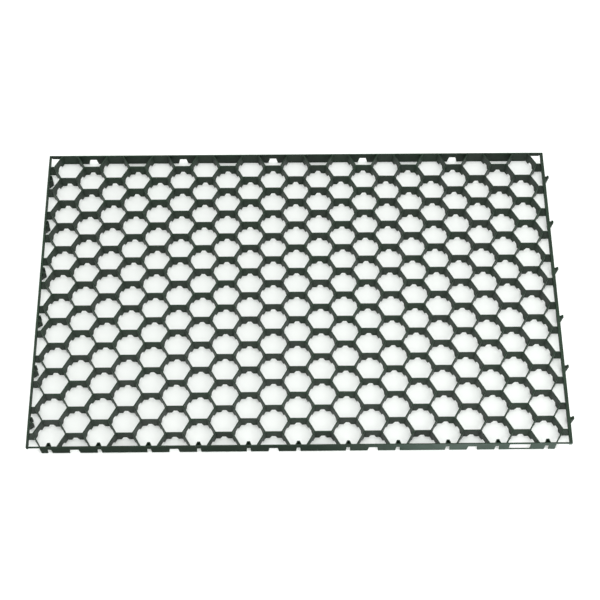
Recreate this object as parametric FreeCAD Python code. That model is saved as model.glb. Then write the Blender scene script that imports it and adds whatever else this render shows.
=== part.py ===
"""Grass paver grid: one moulded honeycomb panel that lies flat in the ground.

Frame: X runs along the panel's width, Y from its front edge to its back edge, Z up.
The origin is the middle of the underside of the whole panel, side hooks included.
Sizes are in millimetres.
"""
import FreeCAD, Part
import math
import os

# Honeycomb
CELL_PITCH = 52.0  # from the middle of one wall to the middle of the opposite wall
COLUMN_COUNT = 22  # column spacings from the left edge to the right edge
ROW_COUNT = 12  # cell pitches from the front edge to the back edge
HEIGHT = 28.0
WALL = 2.0

# Drain notch in the foot of each wall between two cells
NOTCH_FOOT = 14.0
NOTCH_TOP = 6.0
NOTCH_HEIGHT = 9.0

# Front and back edges: a rail along the top, with plates down to the ground
FRONT_RAIL_HEIGHT = 5.0
BACK_RAIL_HEIGHT = 10.0
WIDE_NOTCH_FOOT = 19.0
FRONT_NOTCH_TOP = 15.0
BACK_NOTCH_TOP = 12.0
WIDE_NOTCH_HEIGHT = 15.0
SMALL_NOTCH_FOOT = 8.0
SMALL_NOTCH_TOP = 6.0
SMALL_NOTCH_HEIGHT = 16.0
WIDE_NOTCH_COLUMNS = [2, 6, 10, 14, 18]

# Window in the front plate, between the rail and a thin bar at the foot
WINDOW_COLUMN = 20
WINDOW_WIDTH = 38.0
WINDOW_OFFSET = -4.0  # from the column's middle to the window's middle
WINDOW_BAR = 2.0

# Side edges: only a rail along the top, inside the middle of the half cells
LEFT_RAIL_WIDTH = 4.0
RIGHT_RAIL_WIDTH = 5.6
SIDE_RAIL_HEIGHT = 8.0
LEFT_INSET = 6.0
RIGHT_INSET = 2.8

# Lugs inside the front edge, one at each full column, with a blind pocket in the top
LUG_WIDTH = 11.0
LUG_TIP = 5.0
LUG_REACH = 7.0
LUG_HEIGHT = 11.0
POCKET_WALL = 1.3
POCKET_FLOOR = 1.5

# Joining parts: hooks under the right rail that point up, and catches under the left rail
JOIN_ROWS = [1, 3, 5, 7, 9, 11]
HOOK_WIDTH = 6.0
HOOK_CLEARANCE = 0.8
HOOK_FOOT = 1.0
HOOK_ARM_TOP = 17.5
HOOK_TOP = 20.5
HOOK_TIP = 4.0
HOOK_ROOT = 1.0  # how far the hook runs into the rail
HOOK_LEAN = 3.0  # how far the outer end leans in from the tip to the foot
CHEEK_GAP = 8.7
CHEEK_THICKNESS = 2.4
FRONT_CHEEK_REACH = 6.8
REAR_CHEEK_REACH = 4.0
CHEEK_RISE = 11.0  # how much higher a cheek's foot is at its inner end

# Moulded as one piece, written as sections that meet face to face at the middle of a column
SECTIONS = {
    "left_side": (0, 4),
    "left_middle": (4, 8),
    "middle": (8, 12),
    "right_middle": (12, 16),
    "right_side": (16, 22),
}

SIDE = CELL_PITCH / math.sqrt(3)
COLUMN_PITCH = 1.5 * SIDE
HOLE_RADIUS = (CELL_PITCH - WALL) / math.sqrt(3)
HOOK_REACH = LEFT_RAIL_WIDTH + HOOK_CLEARANCE + HOOK_TIP
WIDTH = COLUMN_COUNT * COLUMN_PITCH - LEFT_INSET - RIGHT_INSET
DEPTH = ROW_COUNT * CELL_PITCH
X_LEFT = -(WIDTH + HOOK_REACH + (RIGHT_RAIL_WIDTH - LEFT_RAIL_WIDTH) / 2) / 2
X_RIGHT = X_LEFT + WIDTH
LEFT_OUT = X_LEFT - LEFT_RAIL_WIDTH / 2
LEFT_IN = X_LEFT + LEFT_RAIL_WIDTH / 2
RIGHT_IN = X_RIGHT - RIGHT_RAIL_WIDTH / 2
RIGHT_OUT = X_RIGHT + RIGHT_RAIL_WIDTH / 2
Y_FRONT = -DEPTH / 2
Y_BACK = DEPTH / 2
SIDE_RAIL_FOOT = HEIGHT - SIDE_RAIL_HEIGHT
UP = FreeCAD.Vector(0, 0, 1)
OVERCUT = 1.0


def column_x(column):
    """X of the middle of a column of cells. The rails cut columns 0 and COLUMN_COUNT short."""
    return X_LEFT - LEFT_INSET + column * COLUMN_PITCH


def row_y(row):
    """Y of a place that many cell pitches behind the front edge."""
    return Y_FRONT + row * CELL_PITCH


def is_full(column):
    """Odd columns hold whole cells from edge to edge, even ones half a cell at each end."""
    return column % 2 == 1


def column_rows(column):
    """Rows of the cell centres in a column, cells that the edges cut included."""
    if is_full(column):
        return [step + 0.5 for step in range(ROW_COUNT)]
    return list(range(ROW_COUNT + 1))


def flat_face(points):
    """Face over an outline of vectors."""
    return Part.Face(Part.makePolygon(points + points[:1]))


def prism(points, z_low, z_high):
    """Upright solid over an outline of (x, y) points."""
    corners = [FreeCAD.Vector(x, y, z_low) for x, y in points]
    return flat_face(corners).extrude(UP * (z_high - z_low))


def standing_plate(points, y_low, y_high):
    """Upright plate across Y over an outline of (x, z) points."""
    corners = [FreeCAD.Vector(x, y_low, z) for x, z in points]
    return flat_face(corners).extrude(FreeCAD.Vector(0, y_high - y_low, 0))


def block(x_low, x_high, y_low, y_high, z_low, z_high):
    """Upright block between two corners."""
    corner = FreeCAD.Vector(x_low, y_low, z_low)
    return Part.makeBox(x_high - x_low, y_high - y_low, z_high - z_low, corner)


def cell_hole(column, row):
    """A cell's hole as a flat face on the ground, cut short by the edge walls."""
    corners = []
    for step in range(6):
        angle = math.radians(60 * step)
        x = column_x(column) + HOLE_RADIUS * math.cos(angle)
        y = row_y(row) + HOLE_RADIUS * math.sin(angle)
        corners.append(FreeCAD.Vector(x, y, 0))
    hole = flat_face(corners)
    if column in (0, COLUMN_COUNT) or row in (0, ROW_COUNT):
        inner_corner = FreeCAD.Vector(LEFT_IN, Y_FRONT + WALL / 2, 0)
        hole = hole.common(Part.makePlane(RIGHT_IN - LEFT_IN, DEPTH - WALL, inner_corner))
    return hole


def section_blank(first, last):
    """Honeycomb between two columns at full height, with its edge walls."""
    x_low = LEFT_OUT if first == 0 else column_x(first)
    x_high = RIGHT_OUT if last == COLUMN_COUNT else column_x(last)
    outer_corner = FreeCAD.Vector(x_low, Y_FRONT - WALL / 2, 0)
    plate = Part.makePlane(x_high - x_low, DEPTH + WALL, outer_corner)
    holes = []
    for column in range(first, last + 1):
        holes += [cell_hole(column, row) for row in column_rows(column)]
    return plate.cut(holes).Faces[0].extrude(UP * HEIGHT)


def notch_cutter(x, y, turn, foot, top, height):
    """Trapezoid bar through a wall's foot. Turn is the wall's direction from X, in degrees."""
    below = foot / 2 + (foot - top) / 2 / height * OVERCUT
    length = WALL + 2 * OVERCUT
    corners = [(-below, -OVERCUT), (below, -OVERCUT), (top / 2, height), (-top / 2, height)]
    outline = [FreeCAD.Vector(u, -length / 2, z) for u, z in corners]
    bar = flat_face(outline).extrude(FreeCAD.Vector(0, length, 0))
    bar.rotate(FreeCAD.Vector(0, 0, 0), UP, turn)
    bar.translate(FreeCAD.Vector(x, y, 0))
    return bar


def wall_notches(first, last):
    """Cutters for the notches of the walls between cells."""
    cutters = []
    for column in range(first, last + 1):
        for row in column_rows(column):
            for bearing in (90, 30, -30):
                x = column_x(column) + CELL_PITCH / 2 * math.cos(math.radians(bearing))
                y = row_y(row) + CELL_PITCH / 2 * math.sin(math.radians(bearing))
                if abs(y) < DEPTH / 2 - WALL and X_LEFT + WALL < x < X_RIGHT - WALL:
                    sizes = (NOTCH_FOOT, NOTCH_TOP, NOTCH_HEIGHT)
                    cutters.append(notch_cutter(x, y, bearing - 90, *sizes))
    return cutters


def edge_notches(first, last):
    """Cutters for the notches in the plates of the front and back edges."""
    front = (WIDE_NOTCH_FOOT, FRONT_NOTCH_TOP, WIDE_NOTCH_HEIGHT)
    back = (WIDE_NOTCH_FOOT, BACK_NOTCH_TOP, WIDE_NOTCH_HEIGHT)
    small = (SMALL_NOTCH_FOOT, SMALL_NOTCH_TOP, SMALL_NOTCH_HEIGHT)
    cutters = []
    for column in range(first, last + 1):
        x = column_x(column)
        if column in WIDE_NOTCH_COLUMNS:
            cutters.append(notch_cutter(x, Y_FRONT, 0, *front))
            cutters.append(notch_cutter(x, Y_BACK, 0, *back))
        if is_full(column):
            cutters.append(notch_cutter(x, Y_FRONT, 0, *small))
    return cutters


def plate_window(x_low, x_high, y, z_low, z_high):
    """Cutter for a window through the plate of the front or back edge."""
    near = WALL / 2 + OVERCUT
    return block(x_low, x_high, y - near, y + near, z_low, z_high)


def end_windows(first, last):
    """Cutters that leave only the rail across the corner cells, and the window in the front plate."""
    front_foot = HEIGHT - FRONT_RAIL_HEIGHT
    back_foot = HEIGHT - BACK_RAIL_HEIGHT
    cutters = []
    for column in range(first, last + 1):
        if column in (0, COLUMN_COUNT):
            x_low = max(column_x(column) - HOLE_RADIUS, LEFT_IN)
            x_high = min(column_x(column) + HOLE_RADIUS, RIGHT_IN)
            cutters.append(plate_window(x_low, x_high, Y_FRONT, -OVERCUT, front_foot))
            cutters.append(plate_window(x_low, x_high, Y_BACK, -OVERCUT, back_foot))
        if column == WINDOW_COLUMN:
            x_low = column_x(column) + WINDOW_OFFSET - WINDOW_WIDTH / 2
            cutters.append(plate_window(x_low, x_low + WINDOW_WIDTH, Y_FRONT, WINDOW_BAR, front_foot))
    return cutters


def side_windows(column, x_out, x_in):
    """Cutters that leave only the rail, between its two faces, beside the half cells of a side edge."""
    x_low = min(x_out, x_in) - OVERCUT
    x_high = max(x_out, x_in) + OVERCUT
    cutters = []
    for row in column_rows(column):
        y_low = row_y(row - 0.5) + WALL / 2 if row > 0 else Y_FRONT - WALL / 2 - OVERCUT
        y_high = row_y(row + 0.5) - WALL / 2 if row < ROW_COUNT else Y_BACK + WALL / 2 + OVERCUT
        cutters.append(block(x_low, x_high, y_low, y_high, -OVERCUT, SIDE_RAIL_FOOT))
    return cutters


def lug_outline(x, inset):
    """Corners of a lug's outline, or of its pocket's, which lies that far inside it."""
    y_near = Y_FRONT + WALL / 2
    near = LUG_WIDTH / 2 - inset
    far = LUG_TIP / 2 - inset
    y_far = y_near + LUG_REACH - inset
    return [(x - near, y_near), (x + near, y_near), (x + far, y_far), (x - far, y_far)]


def front_lugs(first, last):
    """Blunt lugs inside the front edge, for the full columns of a section."""
    lugs = []
    for column in range(first, last + 1):
        if is_full(column):
            x = column_x(column)
            lug = prism(lug_outline(x, 0), HEIGHT - LUG_HEIGHT, HEIGHT)
            pocket = prism(lug_outline(x, POCKET_WALL), HEIGHT - LUG_HEIGHT + POCKET_FLOOR, HEIGHT + OVERCUT)
            lugs.append(lug.cut(pocket))
    return lugs


def side_hooks():
    """Hooks on the right edge: a hanger under the rail, an arm outwards and a tip that points up."""
    x_in = RIGHT_OUT - HOOK_ROOT
    x_end = RIGHT_OUT + HOOK_REACH
    outline = [
        (x_in, HOOK_FOOT),
        (x_end - HOOK_LEAN, HOOK_FOOT),
        (x_end, HOOK_TOP),
        (x_end - HOOK_TIP, HOOK_TOP),
        (x_end - HOOK_TIP, HOOK_ARM_TOP),
        (RIGHT_OUT, HOOK_ARM_TOP),
        (RIGHT_OUT, HEIGHT),
        (x_in, HEIGHT),
    ]
    half = HOOK_WIDTH / 2
    return [standing_plate(outline, row_y(row) - half, row_y(row) + half) for row in JOIN_ROWS]


def cheek(reach, y_low, y_high):
    """One side wall of a catch, whose foot slants up inwards."""
    x_end = LEFT_IN + reach
    outline = [(LEFT_OUT, 0), (x_end, CHEEK_RISE), (x_end, HEIGHT), (LEFT_OUT, HEIGHT)]
    return standing_plate(outline, y_low, y_high)


def side_catches():
    """Catches on the left edge: a plate that the next panel's hook goes under, between two cheeks."""
    near = CHEEK_GAP / 2
    far = near + CHEEK_THICKNESS
    plate_foot = HOOK_ARM_TOP + HOOK_CLEARANCE
    catches = []
    for row in JOIN_ROWS:
        y = row_y(row)
        catches.append(block(LEFT_OUT, LEFT_IN, y - near, y + near, plate_foot, HEIGHT))
        catches.append(cheek(FRONT_CHEEK_REACH, y - far, y - near))
        catches.append(cheek(REAR_CHEEK_REACH, y + near, y + far))
    return catches


def section(first, last):
    """One section of the panel, between two columns."""
    additions = front_lugs(first, last)
    cutters = wall_notches(first, last) + edge_notches(first, last) + end_windows(first, last)
    if first == 0:
        cutters += side_windows(0, LEFT_OUT, LEFT_IN)
        additions += side_catches()
    if last == COLUMN_COUNT:
        cutters += side_windows(COLUMN_COUNT, RIGHT_OUT, RIGHT_IN)
        additions += side_hooks()
    return section_blank(first, last).cut(cutters).fuse(additions).removeSplitter()


def main():
    """Write one STEP file for each section."""
    os.makedirs("parts", exist_ok=True)
    for name, (first, last) in SECTIONS.items():
        shape = section(first, last)
        print(name, shape.isValid(), len(shape.Solids), round(shape.Volume), len(shape.Faces))
        shape.Solids[0].exportStep(f"parts/{name}.step")


main()
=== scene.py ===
"""Looks of the grass paver grid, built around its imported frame.

The panel is one moulded piece, so one mesh stands for the five sections of the frame. Geometry Nodes make it
from the rule that the real mould follows: hexagonal cells cut out of a plate, notches under the walls, rails
round the edge, and the lugs, hooks and catches. Sizes are in metres, in the frame's own axes.
"""

import logging
import math
from dataclasses import dataclass, field
from enum import Enum

import bmesh
import bpy
from mathutils import Euler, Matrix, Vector


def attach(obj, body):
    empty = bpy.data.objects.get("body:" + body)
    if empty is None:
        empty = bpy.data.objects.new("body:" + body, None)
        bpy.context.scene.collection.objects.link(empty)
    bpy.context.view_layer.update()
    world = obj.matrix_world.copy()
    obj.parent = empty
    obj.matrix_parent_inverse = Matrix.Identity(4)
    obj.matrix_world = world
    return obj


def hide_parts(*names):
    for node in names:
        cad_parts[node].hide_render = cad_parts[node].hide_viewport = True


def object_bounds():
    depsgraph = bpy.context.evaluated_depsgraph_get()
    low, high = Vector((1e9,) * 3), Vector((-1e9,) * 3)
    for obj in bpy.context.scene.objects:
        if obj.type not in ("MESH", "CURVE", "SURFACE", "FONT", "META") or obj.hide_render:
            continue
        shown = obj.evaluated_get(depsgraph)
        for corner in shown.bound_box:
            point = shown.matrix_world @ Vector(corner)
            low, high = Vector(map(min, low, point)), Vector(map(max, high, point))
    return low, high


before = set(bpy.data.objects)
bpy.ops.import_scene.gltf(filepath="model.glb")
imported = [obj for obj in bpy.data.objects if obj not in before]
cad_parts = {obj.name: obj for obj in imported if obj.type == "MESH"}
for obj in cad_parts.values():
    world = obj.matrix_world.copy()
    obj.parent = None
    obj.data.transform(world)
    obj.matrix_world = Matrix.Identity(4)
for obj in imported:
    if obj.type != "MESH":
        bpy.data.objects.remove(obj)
cad_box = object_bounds()
log = logging.getLogger("paver")

Socket = bpy.types.NodeSocket
Amount = float | int | Socket
Point = tuple[Amount, Amount, Amount]
Span = tuple[float, float]
Colour = tuple[float, float, float]

# Columns of regular hexagons stand this many cell pitches apart.
COLUMN_STEP = math.sqrt(3) / 2
# A regular hexagon is this many corner radii wide from one flat side to the other.
FLATS_PER_RADIUS = math.sqrt(3)
# From a cell's middle, these bearings lead to three of its six walls. The others belong to its neighbours.
WALL_BEARINGS = (90, 30, -30)


class Cut(Enum):
    """What a boolean does with its second mesh."""

    TAKE_AWAY = "DIFFERENCE"
    KEEP_INSIDE = "INTERSECT"
    ADD = "UNION"


class NodeMaker:
    """Adds nodes to one tree and links them with short calls."""

    def __init__(self, tree: bpy.types.NodeTree) -> None:
        """Keep the tree that the nodes go in.

        Args:
            tree: A geometry, shader or group tree.
        """
        self.tree = tree

    def add(
        self, kind: str, inputs: dict[str | int, object] | None = None, **settings: object
    ) -> bpy.types.Node:
        """Add one node.

        Args:
            kind: The node's type name.
            inputs: A value or a socket for each input, by name or number.
            settings: The node's own settings.

        Returns:
            The new node.
        """
        node = self.tree.nodes.new(kind)
        for name, setting in settings.items():
            setattr(node, name, setting)
        for key, value in (inputs or {}).items():
            if isinstance(value, Socket):
                self.tree.links.new(value, node.inputs[key])
            else:
                node.inputs[key].default_value = value
        return node

    def calc(self, operation: str, *values: Amount) -> Socket:
        """Work out one number.

        Args:
            operation: The Math node's operation.
            values: Its inputs in order.

        Returns:
            The result's socket.
        """
        return self.add("ShaderNodeMath", dict(enumerate(values)), operation=operation).outputs[0]

    def vector(self, point: Point) -> Socket:
        """Join three numbers or sockets into a vector.

        Args:
            point: X, Y and Z.

        Returns:
            The vector's socket.
        """
        return self.add("ShaderNodeCombineXYZ", dict(enumerate(point))).outputs[0]

    def split(self, vector: Socket) -> tuple[Socket, Socket, Socket]:
        """Take a vector apart.

        Args:
            vector: The vector's socket.

        Returns:
            Its X, Y and Z sockets.
        """
        parts = self.add("ShaderNodeSeparateXYZ", {0: vector}).outputs
        return parts[0], parts[1], parts[2]

    def ramp(self, value: Socket, low: float, high: float, start: float = 0.0, end: float = 1.0) -> Socket:
        """Map one range of numbers to another, smoothly and clamped.

        Args:
            value: The number to map.
            low: The value that gives start.
            high: The value that gives end.
            start: The result at low.
            end: The result at high.

        Returns:
            The mapped number's socket.
        """
        inputs = {0: value, 1: low, 2: high, 3: start, 4: end}
        return self.add("ShaderNodeMapRange", inputs, interpolation_type="SMOOTHSTEP").outputs[0]

    def noise(self, place: Socket, scale: Amount, detail: float = 3.0) -> Socket:
        """Soft noise from 0 to 1.

        Args:
            place: The coordinates.
            scale: Lumps for each metre.
            detail: Octaves.

        Returns:
            The noise value's socket.
        """
        inputs = {"Vector": place, "Scale": scale, "Detail": detail}
        return self.add("ShaderNodeTexNoise", inputs).outputs[0]

    def blended(self, mask: Amount, first: Colour | Socket, second: Colour | Socket) -> Socket:
        """Mix two colours by a mask.

        Args:
            mask: 0 gives the first colour, and 1 the second.
            first: A colour or a socket.
            second: A colour or a socket.

        Returns:
            The mixed colour's socket.
        """
        inputs = {0: mask}
        for number, colour in ((6, first), (7, second)):
            inputs[number] = colour if isinstance(colour, Socket) else (*colour, 1.0)
        return self.add("ShaderNodeMix", inputs, data_type="RGBA").outputs[2]


class SolidMaker(NodeMaker):
    """Geometry nodes for solids, cutters and rows of them."""

    def box(self, low: Point, high: Point) -> Socket:
        """Upright block whose corners are exactly the given ones, so that blocks meet in one plane.

        Args:
            low: The lowest corner.
            high: The highest corner.

        Returns:
            The block's geometry.
        """
        cube = self.add("GeometryNodeMeshCube").outputs[0]
        from_middle = self.add("GeometryNodeInputPosition").outputs[0]
        share = self.add("ShaderNodeVectorMath", {0: from_middle, 1: (0.5, 0.5, 0.5)}, operation="ADD")
        corners = {1: share.outputs[0], 4: self.vector(low), 5: self.vector(high)}
        place = self.add("ShaderNodeMix", corners, data_type="VECTOR", factor_mode="NON_UNIFORM")
        return self.placed(cube, place.outputs[1])

    def placed(self, solid: Socket, place: Socket) -> Socket:
        """Give each corner of a solid a new place.

        Args:
            solid: The geometry.
            place: The corners' places.

        Returns:
            The changed geometry.
        """
        return self.add("GeometryNodeSetPosition", {"Geometry": solid, "Position": place}).outputs[0]

    def moved(self, solid: Socket, offset: Socket) -> Socket:
        """Move a solid.

        Args:
            solid: The geometry.
            offset: How far, as a vector.

        Returns:
            The moved geometry.
        """
        return self.add("GeometryNodeTransform", {"Geometry": solid, "Translation": offset}).outputs[0]

    def gusset(self, low: Point, high: Point, rise: float, lean: float = 0.0) -> Socket:
        """Upright block with the far edge of its foot moved up and in.

        Args:
            low: The lowest corner.
            high: The highest corner.
            rise: How much higher the foot is at the highest X.
            lean: How far the far side leans in from its top to its foot.

        Returns:
            The block's geometry.
        """
        block = self.box(low, high)
        x, y, z = self.split(self.add("GeometryNodeInputPosition").outputs[0])
        length = self.calc("SUBTRACT", high[0], low[0])
        depth = self.calc("SUBTRACT", high[2], low[2])
        along = self.calc("DIVIDE", self.calc("SUBTRACT", x, low[0]), length)
        down = self.calc("DIVIDE", self.calc("SUBTRACT", high[2], z), depth)
        part = self.calc("MULTIPLY", along, down)
        x_moved = self.calc("SUBTRACT", x, self.calc("MULTIPLY", part, lean))
        z_moved = self.calc("ADD", z, self.calc("MULTIPLY", part, rise))
        return self.placed(block, self.vector((x_moved, y, z_moved)))

    def trapezoid_bar(self, foot: Amount, top: Amount, height: Amount, length: Amount, below: float) -> Socket:
        """Bar along Y whose end is a trapezoid that stands on the ground.

        Args:
            foot: Its width at the ground.
            top: Its width at the top.
            height: Its height over the ground.
            length: Its length along Y.
            below: How far its slanted sides run on under the ground.

        Returns:
            The bar's geometry.
        """
        half = self.calc("MULTIPLY", length, 0.5)
        bar = self.box((-0.5, self.calc("MULTIPLY", half, -1.0), -below), (0.5, half, height))
        x, y, z = self.split(self.add("GeometryNodeInputPosition").outputs[0])
        slope = self.calc("DIVIDE", self.calc("SUBTRACT", top, foot), height)
        width = self.calc("ADD", foot, self.calc("MULTIPLY", slope, z))
        return self.placed(bar, self.vector((self.calc("MULTIPLY", x, width), y, z)))

    def row(self, count: Amount, start: Point, step: Point) -> Socket:
        """Points in a straight row.

        Args:
            count: How many.
            start: The first point.
            step: From each point to the next.

        Returns:
            The points' geometry.
        """
        inputs = {"Count": count, "Start Location": self.vector(start), "Offset": self.vector(step)}
        return self.add("GeometryNodeMeshLine", inputs).outputs[0]

    def repeated(
        self, solid: Socket, points: Socket, turn: float = 0.0, only: Socket | None = None
    ) -> Socket:
        """Put a solid on each point.

        Args:
            solid: The geometry to repeat.
            points: Where it goes.
            turn: Its turn about Z, in degrees.
            only: Which points count, if not all.

        Returns:
            The repeated solids as one mesh.
        """
        inputs = {"Points": points, "Instance": solid, "Rotation": Euler((0, 0, math.radians(turn)))}
        if only is not None:
            inputs["Selection"] = only
        copies = self.add("GeometryNodeInstanceOnPoints", inputs).outputs[0]
        return self.add("GeometryNodeRealizeInstances", {"Geometry": copies}).outputs[0]

    def combined(self, how: Cut, first: Socket, *others: Socket) -> Socket:
        """Boolean of one solid with others.

        Args:
            how: What the others do to the first.
            first: The solid that the others act on.
            others: The other solids.

        Returns:
            The resulting geometry.
        """
        node = self.add("GeometryNodeMeshBoolean", operation=how.value, solver="MANIFOLD")
        into = "Mesh 1" if how is Cut.TAKE_AWAY else "Mesh 2"
        self.tree.links.new(first, node.inputs[into])
        for other in others:
            self.tree.links.new(other, node.inputs["Mesh 2"])
        return node.outputs["Mesh"]


@dataclass(frozen=True)
class MouldedPlastic:
    """Green-black moulded polyethylene, satin on the rails, with dust and rubbed edges.

    The front plate's outer face has painted shade on the left and a patchy painted sheen on the right.
    Scales are in lumps for each metre.
    """

    name: str = "moulded_plastic"
    body: Colour = (0.0075, 0.0185, 0.0095)
    cloud: Colour = (0.0110, 0.0290, 0.0145)
    rubbed: Colour = (0.045, 0.065, 0.048)
    dust: Colour = (0.11, 0.13, 0.11)
    # Painted shade and painted sheen on the front plate's outer face: darker on its left, paler and patchy on
    # its right, standing in for how the light falls.
    front_painted_shade: Colour = (0.0030, 0.0120, 0.0050)
    front_painted_sheen: Colour = (0.030, 0.058, 0.043)
    roughness: float = 0.46
    cloud_roughness: float = 0.10
    dust_roughness: float = 0.5
    painted_shade_roughness: float = 0.4
    specular: float = 0.20
    bump_strength: float = 0.25
    bump_depth: float = 0.0004
    cloud_scale: float = 14.0
    skin_scale: float = 1600.0
    sink_scale: float = 90.0
    rub_scale: float = 60.0
    rub_amount: float = 0.8
    speck_scale: float = 420.0
    drift_scale: float = 9.0
    dust_amount: float = 0.35
    front_facing: Span = (-0.97, -0.70)
    front_skin: Span = (0.0005, 0.0020)
    painted_light_x: Span = (-0.02, 0.30)
    sheen_patch_scale: float = 35.0
    sheen_patch_values: Span = (0.30, 0.70)
    sheen_patch_least: float = 0.55

    def make(self) -> bpy.types.Material:
        """Build the material.

        Returns:
            The finished material.
        """
        material = bpy.data.materials.new(self.name)
        material.use_nodes = True
        nodes = NodeMaker(material.node_tree)
        shader = material.node_tree.nodes["Principled BSDF"]
        place = nodes.add("ShaderNodeTexCoord").outputs["Object"]
        wear, grain = self.wear(nodes, place), self.grain(nodes, place)
        colour = nodes.blended(grain["Clouds"], self.body, self.cloud)
        colour = nodes.blended(wear["Rubbed"], colour, self.rubbed)
        colour = nodes.blended(wear["Dust"], colour, self.dust)
        # Painted shade on the left of the front plate's outer face and painted sheen on its right; the shaded
        # part is also made rougher.
        painted_shade, painted_sheen = self.painted_front_light_masks(nodes, place)
        colour = nodes.blended(painted_shade, colour, self.front_painted_shade)
        colour = nodes.blended(painted_sheen, colour, self.front_painted_sheen)
        rough = nodes.calc("ADD", self.roughness, nodes.calc("MULTIPLY", grain["Clouds"], self.cloud_roughness))
        rough = nodes.calc("ADD", rough, nodes.calc("MULTIPLY", wear["Dust"], self.dust_roughness))
        rough = nodes.calc("ADD", rough, nodes.calc("MULTIPLY", painted_shade, self.painted_shade_roughness))
        relief = {"Height": grain["Height"], "Strength": self.bump_strength, "Distance": self.bump_depth}
        bump = nodes.add("ShaderNodeBump", relief)
        material.node_tree.links.new(colour, shader.inputs["Base Color"])
        material.node_tree.links.new(rough, shader.inputs["Roughness"])
        material.node_tree.links.new(bump.outputs["Normal"], shader.inputs["Normal"])
        shader.inputs["Specular IOR Level"].default_value = self.specular
        return material

    def grain(self, nodes: NodeMaker, place: Socket) -> bpy.types.NodeOutputs:
        """Place the grain group with this plastic's values.

        Args:
            nodes: Where the node goes.
            place: The coordinates.

        Returns:
            The group's outputs.
        """
        inputs = {
            "Place": place,
            "Cloud scale": self.cloud_scale,
            "Skin scale": self.skin_scale,
            "Sink scale": self.sink_scale,
        }
        return nodes.add("ShaderNodeGroup", node_tree=grain_group(), inputs=inputs).outputs

    def wear(self, nodes: NodeMaker, place: Socket) -> bpy.types.NodeOutputs:
        """Place the wear group with this plastic's values.

        Args:
            nodes: Where the node goes.
            place: The coordinates.

        Returns:
            The group's outputs.
        """
        inputs = {
            "Place": place,
            "Rub scale": self.rub_scale,
            "Rub amount": self.rub_amount,
            "Speck scale": self.speck_scale,
            "Drift scale": self.drift_scale,
            "Dust amount": self.dust_amount,
        }
        return nodes.add("ShaderNodeGroup", node_tree=wear_group(), inputs=inputs).outputs

    def painted_front_light_masks(self, nodes: NodeMaker, place: Socket) -> tuple[Socket, Socket]:
        """Tell the front plate's outer face apart, with painted shade on its left and a patchy painted sheen on
        its right.

        Args:
            nodes: Where the nodes go.
            place: The coordinates.

        Returns:
            The mask of the painted shade and the mask of the painted sheen.
        """
        x, y, _ = nodes.split(place)
        facing = nodes.split(nodes.add("ShaderNodeNewGeometry").outputs["True Normal"])[1]
        faces_front = nodes.ramp(facing, *self.front_facing, 1.0, 0.0)
        outer_y, inner_y = (cad_box[0][1] + depth for depth in self.front_skin)
        outer = nodes.calc("MULTIPLY", faces_front, nodes.ramp(y, outer_y, inner_y, 1.0, 0.0))
        # Patches that break up the painted sheen.
        sheen_patches = nodes.ramp(nodes.noise(place, self.sheen_patch_scale), *self.sheen_patch_values, self.sheen_patch_least, 1.0)
        to_right = nodes.ramp(x, *self.painted_light_x)
        painted_sheen = nodes.calc("MULTIPLY", nodes.calc("MULTIPLY", outer, to_right), sheen_patches)
        painted_shade = nodes.calc("MULTIPLY", outer, nodes.calc("SUBTRACT", 1.0, to_right))
        return painted_shade, painted_sheen


def shared_group(
    name: str, amounts: tuple[str, ...], outputs: tuple[str, ...]
) -> tuple[NodeMaker, bpy.types.NodeOutputs, bpy.types.Node]:
    """Start a shader node group that reads a place and some amounts.

    Args:
        name: The group's name.
        amounts: The names of the numbers that it reads.
        outputs: The names of the values that it puts out.

    Returns:
        Its node maker, the sockets of what it reads and its output node.
    """
    tree = bpy.data.node_groups.new(name, "ShaderNodeTree")
    tree.interface.new_socket(name="Place", in_out="INPUT", socket_type="NodeSocketVector")
    for amount in amounts:
        tree.interface.new_socket(name=amount, in_out="INPUT", socket_type="NodeSocketFloat")
    for output in outputs:
        tree.interface.new_socket(name=output, in_out="OUTPUT", socket_type="NodeSocketFloat")
    nodes = NodeMaker(tree)
    return nodes, nodes.add("NodeGroupInput").outputs, nodes.add("NodeGroupOutput")


def grain_group() -> bpy.types.NodeTree:
    """Moulding grain: cloudy colour from the melt's flow, sink marks and a fine skin.

    Returns:
        The node group, with Clouds and Height.
    """
    cloud_values = (0.35, 0.68)
    skin_detail, skin_share = 2.0, 0.35
    sink_detail, sink_share = 1.0, 0.65
    scales = ("Cloud scale", "Skin scale", "Sink scale")
    nodes, given, out = shared_group("moulding_grain", scales, ("Clouds", "Height"))
    place = given["Place"]
    clouds = nodes.ramp(nodes.noise(place, given["Cloud scale"]), *cloud_values)
    skin = nodes.noise(place, given["Skin scale"], skin_detail)
    sink = nodes.noise(place, given["Sink scale"], sink_detail)
    skin_height = nodes.calc("MULTIPLY", skin, skin_share)
    height = nodes.calc("ADD", skin_height, nodes.calc("MULTIPLY", sink, sink_share))
    nodes.tree.links.new(clouds, out.inputs["Clouds"])
    nodes.tree.links.new(height, out.inputs["Height"])
    return nodes.tree


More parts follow.
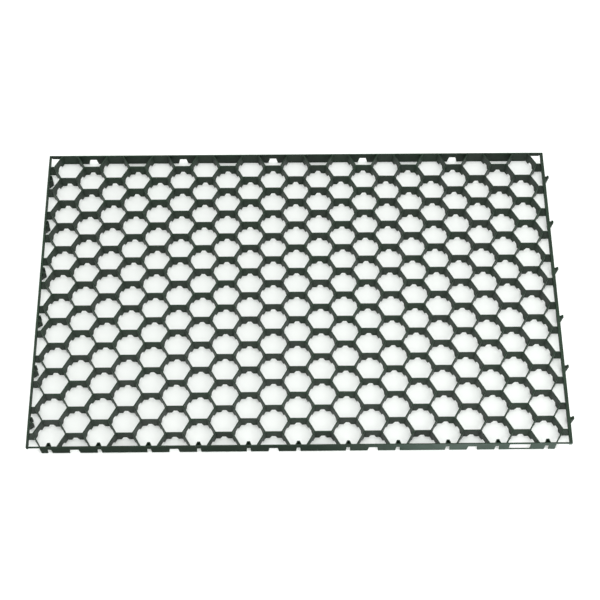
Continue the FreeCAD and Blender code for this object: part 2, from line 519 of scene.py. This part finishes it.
def wear_group() -> bpy.types.NodeTree:
    """Wear: rubbed slanting edges, and dust that has settled on what faces up.

    Returns:
        The node group, with Rubbed and Dust.
    """
    slant_start, slant_end, level = (0.08, 0.25), (0.90, 0.99), (0.80, 0.99)
    patch_values, speck_values, drift_values = (0.40, 0.70), (0.50, 0.75), (0.35, 0.70)
    speck_detail = 4.0
    amounts = ("Rub scale", "Rub amount", "Speck scale", "Drift scale", "Dust amount")
    nodes, given, out = shared_group("yard_wear", amounts, ("Rubbed", "Dust"))
    place = given["Place"]
    up = nodes.split(nodes.add("ShaderNodeNewGeometry").outputs["True Normal"])[2]
    slant = nodes.calc("MULTIPLY", nodes.ramp(up, *slant_start), nodes.ramp(up, *slant_end, 1.0, 0.0))
    patchy = nodes.ramp(nodes.noise(place, given["Rub scale"]), *patch_values)
    rubbed = nodes.calc("MULTIPLY", slant, nodes.calc("MULTIPLY", patchy, given["Rub amount"]))
    specks = nodes.ramp(nodes.noise(place, given["Speck scale"], speck_detail), *speck_values)
    drift = nodes.ramp(nodes.noise(place, given["Drift scale"]), *drift_values)
    dust = nodes.calc("MULTIPLY", nodes.ramp(up, *level), nodes.calc("MULTIPLY", specks, drift))
    nodes.tree.links.new(rubbed, out.inputs["Rubbed"])
    nodes.tree.links.new(nodes.calc("MULTIPLY", dust, given["Dust amount"]), out.inputs["Dust"])
    return nodes.tree


@dataclass(frozen=True)
class Notch:
    """Trapezoid notch that stands on the ground."""

    foot: float
    top: float
    height: float


@dataclass
class Panel:
    """The moulded honeycomb panel with its rails, lugs, hooks and catches.

    Cutters run on by over past the faces that they cut. The mesh's corners are joined within weld_reach, and
    faces that meet within flat_angle are one face.
    """

    columns: int = 22
    rows: int = 12
    cell_pitch: float = 0.052
    height: float = 0.028
    wall: float = 0.0020
    wall_notch: Notch = Notch(foot=0.014, top=0.006, height=0.009)
    front_notch: Notch = Notch(foot=0.019, top=0.015, height=0.015)
    back_notch: Notch = Notch(foot=0.019, top=0.012, height=0.015)
    small_notch: Notch = Notch(foot=0.008, top=0.006, height=0.016)
    wide_notch_first: int = 2
    wide_notch_step: int = 4
    front_rail_height: float = 0.005
    back_rail_height: float = 0.010
    left_rail_width: float = 0.004
    right_rail_width: float = 0.0056
    side_rail_height: float = 0.008
    left_inset: float = 0.006
    window_column: int = 20
    window_width: float = 0.038
    window_shift: float = -0.004
    window_bar: float = 0.002
    lug_base: float = 0.011
    lug_tip: float = 0.005
    lug_reach: float = 0.007
    lug_depth: float = 0.011
    pocket_side: float = 0.0013
    pocket_floor: float = 0.0015
    hook_width: float = 0.006
    hook_clearance: float = 0.0008
    hook_foot: float = 0.001
    hook_arm_top: float = 0.0175
    hook_top: float = 0.0205
    hook_root: float = 0.001
    hook_lean: float = 0.003
    hook_tip: float = 0.004
    cheek_gap: float = 0.0087
    cheek_thickness: float = 0.0024
    front_cheek_reach: float = 0.0068
    rear_cheek_reach: float = 0.0040
    cheek_rise: float = 0.011
    edge_round: float = 0.00035
    edge_segments: int = 2
    sharp_angle: float = math.radians(25)
    flat_angle: float = math.radians(0.5)
    weld_reach: float = 0.00002
    over: float = 0.001
    inputs: dict[str, Socket] = field(default_factory=dict)

    def named_sizes(self) -> dict[str, float | int]:
        """Give the sizes that the node tree reads.

        Returns:
            A value for each named input.
        """
        low, high = cad_box
        return {
            "Columns": self.columns,
            "Rows": self.rows,
            "Cell pitch": self.cell_pitch,
            "Height": self.height,
            "Wall": self.wall,
            "Left rail": low[0] + self.left_rail_width / 2,
            "Right rail": high[0] - self.hook_reach() - self.right_rail_width / 2,
            "Left inset": self.left_inset,
            "Front": low[1] + self.wall / 2,
            "Back": high[1] - self.wall / 2,
            "Front rail height": self.front_rail_height,
            "Back rail height": self.back_rail_height,
            "Left rail width": self.left_rail_width,
            "Right rail width": self.right_rail_width,
            "Side rail height": self.side_rail_height,
            "Notch foot": self.wall_notch.foot,
            "Notch top": self.wall_notch.top,
            "Notch height": self.wall_notch.height,
        }

    def hook_reach(self) -> float:
        """How far the hooks stand out of the right rail."""
        return self.left_rail_width + self.hook_clearance + self.hook_tip

    def columns_wide(self, make: SolidMaker, count: Amount) -> Socket:
        """Width of that many column spacings.

        Args:
            make: Where the nodes go.
            count: The number of spacings.

        Returns:
            The width.
        """
        step = make.calc("MULTIPLY", self.inputs["Cell pitch"], COLUMN_STEP)
        return make.calc("MULTIPLY", step, count)

    def column_x(self, make: SolidMaker, column: Amount) -> Socket:
        """Middle of a column of cells.

        Args:
            make: Where the nodes go.
            column: The column's number, from the left.

        Returns:
            Its X.
        """
        first = make.calc("SUBTRACT", self.inputs["Left rail"], self.inputs["Left inset"])
        return make.calc("ADD", first, self.columns_wide(make, column))

    def row_y(self, make: SolidMaker, row: Amount) -> Socket:
        """Y of a place that many cell pitches behind the front edge.

        Args:
            make: Where the nodes go.
            row: The number of cell pitches.

        Returns:
            Its Y.
        """
        return make.calc("ADD", self.inputs["Front"], make.calc("MULTIPLY", self.inputs["Cell pitch"], row))

    def half_wall(self, make: SolidMaker) -> Socket:
        """Half the walls' thickness."""
        return make.calc("MULTIPLY", self.inputs["Wall"], 0.5)

    def open_pitch(self, make: SolidMaker) -> Socket:
        """Width of a cell between two opposite walls."""
        return make.calc("SUBTRACT", self.inputs["Cell pitch"], self.inputs["Wall"])

    def cell_radius(self, make: SolidMaker) -> Socket:
        """From a cell's middle to its inner corners."""
        return make.calc("DIVIDE", self.open_pitch(make), FLATS_PER_RADIUS)

    def cell_points(self, make: SolidMaker) -> Socket:
        """The middles of all cells, with those that the edges cut.

        Args:
            make: Where the nodes go.

        Returns:
            The points' geometry.
        """
        across = make.calc("ADD", self.inputs["Columns"], 1)
        number = make.add("GeometryNodeInputIndex").outputs[0]
        column = make.calc("MODULO", number, across)
        row = make.calc("FLOOR", make.calc("DIVIDE", make.calc("ADD", number, 0.5), across))
        shift = make.calc("MULTIPLY", make.calc("MODULO", column, 2), 0.5)
        y = self.row_y(make, make.calc("ADD", row, shift))
        place = make.vector((self.column_x(make, column), y, 0.0))
        count = make.calc("MULTIPLY", across, make.calc("ADD", self.inputs["Rows"], 1))
        return make.add("GeometryNodePoints", {"Count": count, "Position": place}).outputs[0]

    def rail_faces(self, make: SolidMaker) -> list[tuple[Socket, Socket]]:
        """Faces of the two side rails.

        Args:
            make: Where the nodes go.

        Returns:
            The X of the left and right face, of the left rail and of the right rail.
        """
        faces = []
        for side in ("Left rail", "Right rail"):
            middle = self.inputs[side]
            half = make.calc("MULTIPLY", self.inputs[side + " width"], 0.5)
            faces.append((make.calc("SUBTRACT", middle, half), make.calc("ADD", middle, half)))
        return faces

    def honeycomb(self, make: SolidMaker, cells: Socket) -> Socket:
        """Plate with the cells cut out, inside full-height edge walls.

        Args:
            make: Where the nodes go.
            cells: The cells' middles.

        Returns:
            The honeycomb's geometry.
        """
        given = self.inputs
        half_wall = self.half_wall(make)
        (left_out, left_in), (right_in, right_out) = self.rail_faces(make)
        depth = make.calc("ADD", given["Height"], 2 * self.over)
        outer_low = (left_out, make.calc("SUBTRACT", given["Front"], half_wall), 0.0)
        outer_high = (right_out, make.calc("ADD", given["Back"], half_wall), given["Height"])
        inner_low = (left_in, make.calc("ADD", given["Front"], half_wall), -2 * self.over)
        inner_high = (right_in, make.calc("SUBTRACT", given["Back"], half_wall), depth)
        cell = {"Vertices": 6, "Radius": self.cell_radius(make), "Depth": depth}
        prism = make.add("GeometryNodeMeshCylinder", cell)
        lift = make.vector((0.0, 0.0, make.calc("MULTIPLY", given["Height"], 0.5)))
        prisms = make.repeated(make.moved(prism.outputs[0], lift), cells)
        holes = make.combined(Cut.KEEP_INSIDE, prisms, make.box(inner_low, inner_high))
        return make.combined(Cut.TAKE_AWAY, make.box(outer_low, outer_high), holes)

    def wall_notches(self, make: SolidMaker, cells: Socket) -> list[Socket]:
        """Cutters for the notch under each wall between two cells.

        Args:
            make: Where the nodes go.
            cells: The cells' middles.

        Returns:
            One mesh of cutters for each of the three wall directions.
        """
        given = self.inputs
        length = make.calc("ADD", given["Wall"], 2 * self.over)
        sizes = (given["Notch foot"], given["Notch top"], given["Notch height"])
        bar = make.trapezoid_bar(*sizes, length, self.over)
        x, y, _ = make.split(make.add("GeometryNodeInputPosition").outputs[0])
        middle = make.calc("MULTIPLY", make.calc("ADD", given["Front"], given["Back"]), 0.5)
        off = make.calc("ABSOLUTE", make.calc("SUBTRACT", y, middle))
        limit = make.calc("SUBTRACT", make.calc("SUBTRACT", given["Back"], middle), given["Wall"])
        inside_y = make.calc("LESS_THAN", off, limit)
        from_left = make.calc("GREATER_THAN", x, given["Left rail"])
        from_right = make.calc("LESS_THAN", x, given["Right rail"])
        inside = make.calc("MULTIPLY", inside_y, make.calc("MULTIPLY", from_left, from_right))
        cutters = []
        for bearing in WALL_BEARINGS:
            angle = math.radians(bearing)
            reach = [make.calc("MULTIPLY", given["Cell pitch"], part / 2)
                     for part in (math.cos(angle), math.sin(angle))]
            offset = make.vector((*reach, 0.0))
            walls = make.add("GeometryNodeSetPosition", {"Geometry": cells, "Offset": offset}).outputs[0]
            cutters.append(make.repeated(bar, walls, bearing - 90, inside))
        return cutters

    def edge_cutters(self, make: SolidMaker) -> list[Socket]:
        """Cutters for the notches, the window and the open corners of the front and back plates.

        Args:
            make: Where the nodes go.

        Returns:
            The cutters' meshes.
        """
        given = self.inputs
        near = make.calc("ADD", self.half_wall(make), self.over)
        front_foot = make.calc("SUBTRACT", given["Height"], given["Front rail height"])
        back_foot = make.calc("SUBTRACT", given["Height"], given["Back rail height"])
        cutters = self.plate_notches(make, make.calc("MULTIPLY", near, 2.0))
        radius = self.cell_radius(make)
        (_, left_in), (right_in, _) = self.rail_faces(make)
        left = (left_in, make.calc("ADD", self.column_x(make, 0), radius))
        right = (make.calc("SUBTRACT", self.column_x(make, given["Columns"]), radius), right_in)
        for x_low, x_high in (left, right):
            for y, foot in ((given["Front"], front_foot), (given["Back"], back_foot)):
                low = (x_low, make.calc("SUBTRACT", y, near), -self.over)
                cutters.append(make.box(low, (x_high, make.calc("ADD", y, near), foot)))
        middle = make.calc("ADD", self.column_x(make, self.window_column), self.window_shift)
        half_width = self.window_width / 2
        front, back = (make.calc(how, given["Front"], near) for how in ("SUBTRACT", "ADD"))
        low = (make.calc("SUBTRACT", middle, half_width), front, self.window_bar)
        high = (make.calc("ADD", middle, half_width), back, front_foot)
        cutters.append(make.box(low, high))
        return cutters

    def plate_notches(self, make: SolidMaker, length: Socket) -> list[Socket]:
        """Cutters for the notches in the feet of the front and back plates.

        Args:
            make: Where the nodes go.
            length: The cutters' length through a plate.

        Returns:
            The wide ones in front and at the back, and the small ones in front.
        """
        given = self.inputs
        wide_x = self.column_x(make, self.wide_notch_first)
        wide_step = self.columns_wide(make, self.wide_notch_step)
        wide_count = make.calc("DIVIDE", given["Columns"], self.wide_notch_step)
        small_x, small_step = self.column_x(make, 1), self.columns_wide(make, 2.0)
        small_count = make.calc("DIVIDE", given["Columns"], 2)
        cutters = []
        for y, notch, x, step, count in (
            (given["Front"], self.front_notch, wide_x, wide_step, wide_count),
            (given["Back"], self.back_notch, wide_x, wide_step, wide_count),
            (given["Front"], self.small_notch, small_x, small_step, small_count),
        ):
            bar = make.trapezoid_bar(notch.foot, notch.top, notch.height, length, self.over)
            cutters.append(make.repeated(bar, make.row(count, (x, y, 0.0), (step, 0.0, 0.0))))
        return cutters

    def side_cutters(self, make: SolidMaker) -> list[Socket]:
        """Cutters that leave only the rail beside the half cells of each side.

        Args:
            make: Where the nodes go.

        Returns:
            One mesh of cutters for each side.
        """
        given = self.inputs
        half_length = make.calc("MULTIPLY", self.open_pitch(make), 0.5)
        front_end = make.calc("MULTIPLY", half_length, -1.0)
        rail_foot = make.calc("SUBTRACT", given["Height"], given["Side rail height"])
        count = make.calc("ADD", given["Rows"], 1)
        cutters = []
        for x_low, x_high in self.rail_faces(make):
            low = (make.calc("SUBTRACT", x_low, self.over), front_end, -self.over)
            block = make.box(low, (make.calc("ADD", x_high, self.over), half_length, rail_foot))
            points = make.row(count, (0.0, given["Front"], 0.0), (0.0, given["Cell pitch"], 0.0))
            cutters.append(make.repeated(block, points))
        return cutters

    def lug_row(self, make: SolidMaker, inset: float, near: Amount, low: Amount, high: Amount) -> Socket:
        """Row of blunt wedges inside the front edge, one at each full column.

        Args:
            make: Where the nodes go.
            inset: How far the wedges lie inside a lug's outline.
            near: Y of their wide end, from the middle of the front plate.
            low: Their foot's height.
            high: Their top's height.

        Returns:
            The wedges as one mesh.
        """
        half_wall = self.half_wall(make)
        reach = self.lug_reach - inset
        wedge = make.box((-0.5, near, low), (0.5, make.calc("ADD", half_wall, reach), high))
        x, y, z = make.split(make.add("GeometryNodeInputPosition").outputs[0])
        slope = (self.lug_tip - self.lug_base) / reach
        taper = make.calc("MULTIPLY", make.calc("SUBTRACT", y, half_wall), slope)
        width = make.calc("ADD", taper, self.lug_base - 2 * inset)
        wedge = make.placed(wedge, make.vector((make.calc("MULTIPLY", x, width), y, z)))
        start = (self.column_x(make, 1), self.inputs["Front"], 0.0)
        count = make.calc("DIVIDE", self.inputs["Columns"], 2)
        return make.repeated(wedge, make.row(count, start, (self.columns_wide(make, 2.0), 0.0, 0.0)))

    def lugs(self, make: SolidMaker) -> Socket:
        """The lugs as one mesh, which starts in the middle of the front plate."""
        foot = make.calc("SUBTRACT", self.inputs["Height"], self.lug_depth)
        return self.lug_row(make, 0.0, 0.0, foot, self.inputs["Height"])

    def pockets(self, make: SolidMaker) -> Socket:
        """Cutters for the blind pockets in the tops of the lugs.

        Args:
            make: Where the nodes go.

        Returns:
            The cutters as one mesh.
        """
        foot = make.calc("SUBTRACT", self.inputs["Height"], self.lug_depth - self.pocket_floor)
        top = make.calc("ADD", self.inputs["Height"], self.over)
        return self.lug_row(make, self.pocket_side, self.half_wall(make), foot, top)

    def hook(self, make: SolidMaker) -> Socket:
        """One hook: a hanger under the right rail, and a plate that is slotted from above.

        Args:
            make: Where the nodes go.

        Returns:
            The hook's geometry, at Y 0.
        """
        _, (_, rail) = self.rail_faces(make)
        half = self.hook_width / 2
        hanger = make.calc("SUBTRACT", rail, self.hook_root)
        end = make.calc("ADD", rail, self.hook_reach())
        tip = make.calc("SUBTRACT", end, self.hook_tip)
        plate = make.gusset((hanger, -half, self.hook_foot), (end, half, self.hook_top), 0.0, self.hook_lean)
        slot = make.box((rail, -2 * half, self.hook_arm_top), (tip, 2 * half, 2 * self.hook_top))
        root = make.box((hanger, -half, self.hook_foot), (rail, half, self.inputs["Height"]))
        return make.combined(Cut.ADD, make.combined(Cut.TAKE_AWAY, plate, slot), root)

    def catch(self, make: SolidMaker) -> Socket:
        """One catch: a short plate under the left rail, between two cheeks.

        Args:
            make: Where the nodes go.

        Returns:
            The catch's geometry, at Y 0.
        """
        (outer, inner), _ = self.rail_faces(make)
        top = self.inputs["Height"]
        gap = self.cheek_gap / 2
        thick = self.cheek_thickness
        front_end = make.calc("ADD", inner, self.front_cheek_reach)
        rear_end = make.calc("ADD", inner, self.rear_cheek_reach)
        foot = self.hook_arm_top + self.hook_clearance
        plate = make.box((outer, -gap - thick / 2, foot), (inner, gap + thick / 2, top))
        front = make.gusset((outer, -gap - thick, 0.0), (front_end, -gap, top), self.cheek_rise)
        rear = make.gusset((outer, gap, 0.0), (rear_end, gap + thick, top), self.cheek_rise)
        return make.combined(Cut.ADD, plate, front, rear)

    def joints(self, make: SolidMaker) -> list[Socket]:
        """Hooks under the right rail and catches under the left one, at every second row.

        Args:
            make: Where the nodes go.

        Returns:
            The hooks and the catches, each as one mesh.
        """
        count = make.calc("DIVIDE", self.inputs["Rows"], 2)
        step = (0.0, make.calc("MULTIPLY", self.inputs["Cell pitch"], 2.0), 0.0)
        points = make.row(count, (0.0, self.row_y(make, 1), 0.0), step)
        return [make.repeated(solid, points) for solid in (self.hook(make), self.catch(make))]

    def rule(self) -> bpy.types.NodeTree:
        """Build the node tree that follows the mould's rule.

        Returns:
            The tree, with an input for each named size and one for the finish.
        """
        tree = bpy.data.node_groups.new("paver_rule", "GeometryNodeTree")
        for name, value in self.named_sizes().items():
            kind = "NodeSocketInt" if isinstance(value, int) else "NodeSocketFloat"
            tree.interface.new_socket(name=name, in_out="INPUT", socket_type=kind)
        tree.interface.new_socket(name="Finish", in_out="INPUT", socket_type="NodeSocketMaterial")
        tree.interface.new_socket(name="Panel", in_out="OUTPUT", socket_type="NodeSocketGeometry")
        make = SolidMaker(tree)
        given = make.add("NodeGroupInput")
        self.inputs = {socket.name: socket for socket in given.outputs if socket.name}
        cells = self.cell_points(make)
        body = self.honeycomb(make, cells)
        for cutter in self.wall_notches(make, cells) + self.edge_cutters(make) + self.side_cutters(make):
            body = make.combined(Cut.TAKE_AWAY, body, cutter)
        body = make.combined(Cut.ADD, body, self.lugs(make), *self.joints(make))
        body = make.combined(Cut.TAKE_AWAY, body, self.pockets(make))
        body = make.add("GeometryNodeRealizeInstances", {"Geometry": body}).outputs[0]
        dressed = make.add("GeometryNodeSetMaterial", {"Geometry": body, "Material": self.inputs["Finish"]})
        make.add("NodeGroupOutput", {"Panel": dressed.outputs[0]})
        return tree

    def build(self, finish: bpy.types.Material) -> bpy.types.Object:
        """Make the panel's mesh and put it in the place of the frame's sections.

        Args:
            finish: The panel's material.

        Returns:
            The finished piece.
        """
        piece = bpy.data.objects.new("paver_grid", bpy.data.meshes.new("paver_grid"))
        bpy.context.scene.collection.objects.link(piece)
        grow = piece.modifiers.new("rule", "NODES")
        grow.node_group = self.rule()
        values = {**self.named_sizes(), "Finish": finish}
        for item in grow.node_group.interface.items_tree:
            if item.in_out == "INPUT":
                grow[item.identifier] = values[item.name]
        shaped = piece.evaluated_get(bpy.context.evaluated_depsgraph_get())
        baked = bpy.data.meshes.new_from_object(shaped)
        piece.modifiers.remove(grow)
        piece.data = baked
        self.clean(baked)
        soften = piece.modifiers.new("soft_edges", "BEVEL")
        soften.width = self.edge_round
        soften.segments = self.edge_segments
        soften.limit_method = "WEIGHT"
        soften.use_clamp_overlap = False
        return piece

    def clean(self, mesh: bpy.types.Mesh) -> None:
        """Join the flat faces that the cuts left in pieces, and mark the outer edges to be rounded.

        Args:
            mesh: The panel's mesh.
        """
        edit = bmesh.new()
        edit.from_mesh(mesh)
        bmesh.ops.remove_doubles(edit, verts=edit.verts, dist=self.weld_reach)
        bmesh.ops.dissolve_limit(edit, angle_limit=self.flat_angle, verts=edit.verts, edges=edit.edges)
        in_line = [corner for corner in edit.verts if len(corner.link_edges) == 2]
        bmesh.ops.dissolve_verts(edit, verts=in_line)
        weight = edit.edges.layers.float.new("bevel_weight_edge")
        for edge in edit.edges:
            edge[weight] = float(edge.calc_face_angle_signed() > self.sharp_angle)
        edit.to_mesh(mesh)
        edit.free()


@dataclass(frozen=True)
class ViewPoint:
    """The photograph's camera: aimed at a point on the panel's top, from a distance."""

    aim: tuple[float, float, float] = (-0.0007, -0.0171, 0.028)
    distance: float = 2.770
    elevation: float = 62.17
    azimuth: float = 0.95
    roll: float = 0.40
    lens: float = 87.66
    sensor: float = 36.0
    sight: float = 50.0

    def make(self) -> None:
        """Create the camera and make it the scene's own."""
        data = bpy.data.cameras.new("photo_view")
        data.lens = self.lens
        data.sensor_width = self.sensor
        data.clip_end = self.sight
        camera = bpy.data.objects.new("photo_view", data)
        bpy.context.scene.collection.objects.link(camera)
        turn = Euler((math.radians(90 - self.elevation), 0, -math.radians(self.azimuth)), "XYZ")
        spin = Euler((0, 0, math.radians(self.roll)), "XYZ")
        matrix = turn.to_matrix().to_4x4() @ spin.to_matrix().to_4x4()
        matrix.translation = Vector(self.aim) + matrix.to_3x3() @ Vector((0, 0, self.distance))
        camera.matrix_world = matrix
        bpy.context.scene.camera = camera


@dataclass(frozen=True)
class Studio:
    """Pale floor and soft light, bright enough that the floor turns white as in the photograph."""

    sky: float = 1.12
    sun: float = 1.42
    sun_spread: float = 26.0
    lamp_power: float = 10.0
    lamp_size: float = 1.2
    lamp_place: tuple[float, float, float] = (1.0, -1.3, 1.5)
    floor_half: float = 6.0
    floor_colour: Colour = (0.905, 0.935, 0.910)
    floor_roughness: float = 0.9

    def make(self) -> None:
        """Build the floor, the sky and the lights."""
        self.floor()
        world = bpy.data.worlds.new("studio")
        world.use_nodes = True
        sky = world.node_tree.nodes["Background"]
        sky.inputs["Color"].default_value = (1, 1, 1, 1)
        sky.inputs["Strength"].default_value = self.sky
        bpy.context.scene.world = world
        bpy.context.scene.view_settings.view_transform = "Standard"
        high = bpy.data.lights.new("high_sun", "SUN")
        high.energy = self.sun
        high.angle = math.radians(self.sun_spread)
        bpy.context.scene.collection.objects.link(bpy.data.objects.new("high_sun", high))
        data = bpy.data.lights.new("soft_lamp", "AREA")
        data.energy = self.lamp_power
        data.size = self.lamp_size
        lamp = bpy.data.objects.new("soft_lamp", data)
        lamp.location = self.lamp_place
        lamp.rotation_euler = (-Vector(self.lamp_place)).to_track_quat("-Z", "Y").to_euler()
        bpy.context.scene.collection.objects.link(lamp)

    def floor(self) -> None:
        """Lay the floor under the panel."""
        mesh = bpy.data.meshes.new("floor")
        half = self.floor_half
        corners = [(-half, -half, 0), (half, -half, 0), (half, half, 0), (-half, half, 0)]
        mesh.from_pydata(corners, [], [(0, 1, 2, 3)])
        material = bpy.data.materials.new("pale_floor")
        material.use_nodes = True
        shader = material.node_tree.nodes["Principled BSDF"]
        shader.inputs["Base Color"].default_value = (*self.floor_colour, 1.0)
        shader.inputs["Roughness"].default_value = self.floor_roughness
        mesh.materials.append(material)
        floor = bpy.data.objects.new("floor", mesh)
        bpy.context.scene.collection.objects.link(floor)


def main() -> None:
    """Build the scene in order."""
    logging.basicConfig(level=logging.INFO, format="%(name)s: %(message)s")
    ViewPoint().make()
    Studio().make()
    finish = MouldedPlastic().make()
    # The sections that the panel stands for carry its finish too.
    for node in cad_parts.values():
        node.data.materials.clear()
        node.data.materials.append(finish)
    piece = Panel().build(finish)
    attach(piece, "root")
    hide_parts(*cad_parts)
    log.info("%s: %d faces", piece.name, len(piece.data.polygons))


if __name__ == "__main__":
    main()
